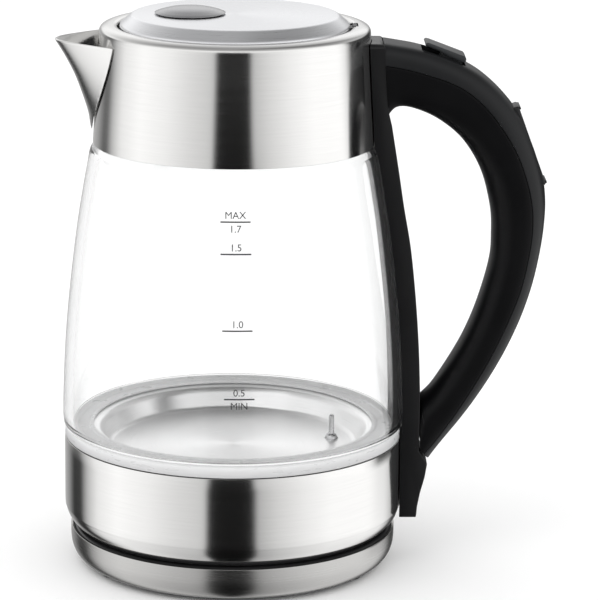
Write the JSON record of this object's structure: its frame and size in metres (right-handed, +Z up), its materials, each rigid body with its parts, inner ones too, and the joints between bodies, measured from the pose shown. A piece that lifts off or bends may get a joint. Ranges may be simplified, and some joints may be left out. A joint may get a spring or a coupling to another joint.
{
  "type": "electric kettle",
  "caption": "Cordless glass electric kettle with steel collar, spout and band, hinged lid, D-shaped handle and a round power base.",
  "frame": {"origin": "centre of the power base on the plane that its feet stand on, on the jug's upright axis", "axes": "+Z up along the jug's axis, +X from the spout towards the handle, +Y to the side"},
  "size_m": [0.2178, 0.1538, 0.253],
  "materials": {
    "brushed_steel": "brushed round the axis",
    "polished_steel": "polished",
    "aluminium": "plain",
    "brass": "plain",
    "copper": "plain",
    "black_plastic": "satin",
    "grey_plastic": "satin",
    "white_plastic": "moulded",
    "wire_sheath": "soft",
    "rubber": "matte",
    "clear_silicone": "clear",
    "glass": "clear"
  },
  "bodies": {
    "power_base": {"base_skirt": "brushed_steel", "base_deck": "black_plastic", "base_underside": "black_plastic", "cord_gland": "black_plastic", "connector_spigot": "black_plastic", "rubber_foot_1": "rubber", "rubber_foot_2": "rubber", "rubber_foot_3": "rubber", "rubber_foot_4": "rubber", "base_screw_1": "polished_steel", "base_screw_2": "polished_steel", "base_screw_3": "polished_steel", "live_contact": "brass", "neutral_contact": "brass"},
    "swivel_ring": {"swivel_ring": "grey_plastic"},
    "jug": {"jug_base_cover": "black_plastic", "jug_connector": "black_plastic", "control_unit": "white_plastic", "snap_disc": "copper", "jug_band": "brushed_steel", "heating_plate": "brushed_steel", "heat_spreader": "aluminium", "heating_element": "polished_steel", "sensor_probe": "polished_steel", "seal_ring": "clear_silicone", "glass_body": "glass", "top_collar": "brushed_steel", "neck_seal": "clear_silicone", "rim_liner": "black_plastic", "lid_hinge_pin": "polished_steel", "spout_filter": "grey_plastic", "spout": "brushed_steel", "handle_spine": "black_plastic", "handle_body": "black_plastic", "handle_cover": "black_plastic", "switch_module": "white_plastic", "jug_base_screw_1": "polished_steel", "jug_base_screw_2": "polished_steel", "jug_base_screw_3": "polished_steel", "live_pin": "brass", "neutral_ring": "brass", "switch_wire_live": "wire_sheath", "switch_wire_return": "wire_sheath"},
    "lid": {"lid_cover": "brushed_steel", "lid_liner": "black_plastic", "lid_seal": "clear_silicone", "lid_knob": "polished_steel", "knob_screw": "polished_steel"},
    "lid_button": {"lid_button": "black_plastic"},
    "lid_latch": {"lid_latch": "grey_plastic"},
    "power_switch": {"power_switch": "black_plastic"}
  },
  "joints": [
    {"name": "jug_swivel", "type": "hinge", "parent": "power_base", "child": "swivel_ring", "pos_m": [0, 0, 0.0172], "axis": [0, 0, 1], "continuous": true},
    {"name": "jug_lift", "type": "slide", "parent": "swivel_ring", "child": "jug", "axis": [0, 0, 1], "range_m": [0, 0.08]},
    {"name": "lid_hinge", "type": "hinge", "parent": "jug", "child": "lid", "pos_m": [0.053, 0, 0.2442], "axis": [0, 1, 0], "range_deg": [0, 80]},
    {"name": "lid_button_press", "type": "slide", "parent": "jug", "child": "lid_button", "axis": [-0.3714, 0, -0.9285], "range_m": [0, 0.0025], "stiffness_N_per_m": 700, "springref_m": -0.001},
    {"name": "lid_latch_slide", "type": "slide", "parent": "jug", "child": "lid_latch", "axis": [1, 0, 0], "range_m": [0, 0.0025]},
    {"name": "power_switch_rock", "type": "hinge", "parent": "jug", "child": "power_switch", "pos_m": [0.12859, 0, 0.1888], "axis": [0, 1, 0], "range_deg": [0, 8]}
  ],
  "couplings": [
    {"joint": "lid_latch_slide", "follows": "lid_button_press", "ratio": 1}
  ]
}
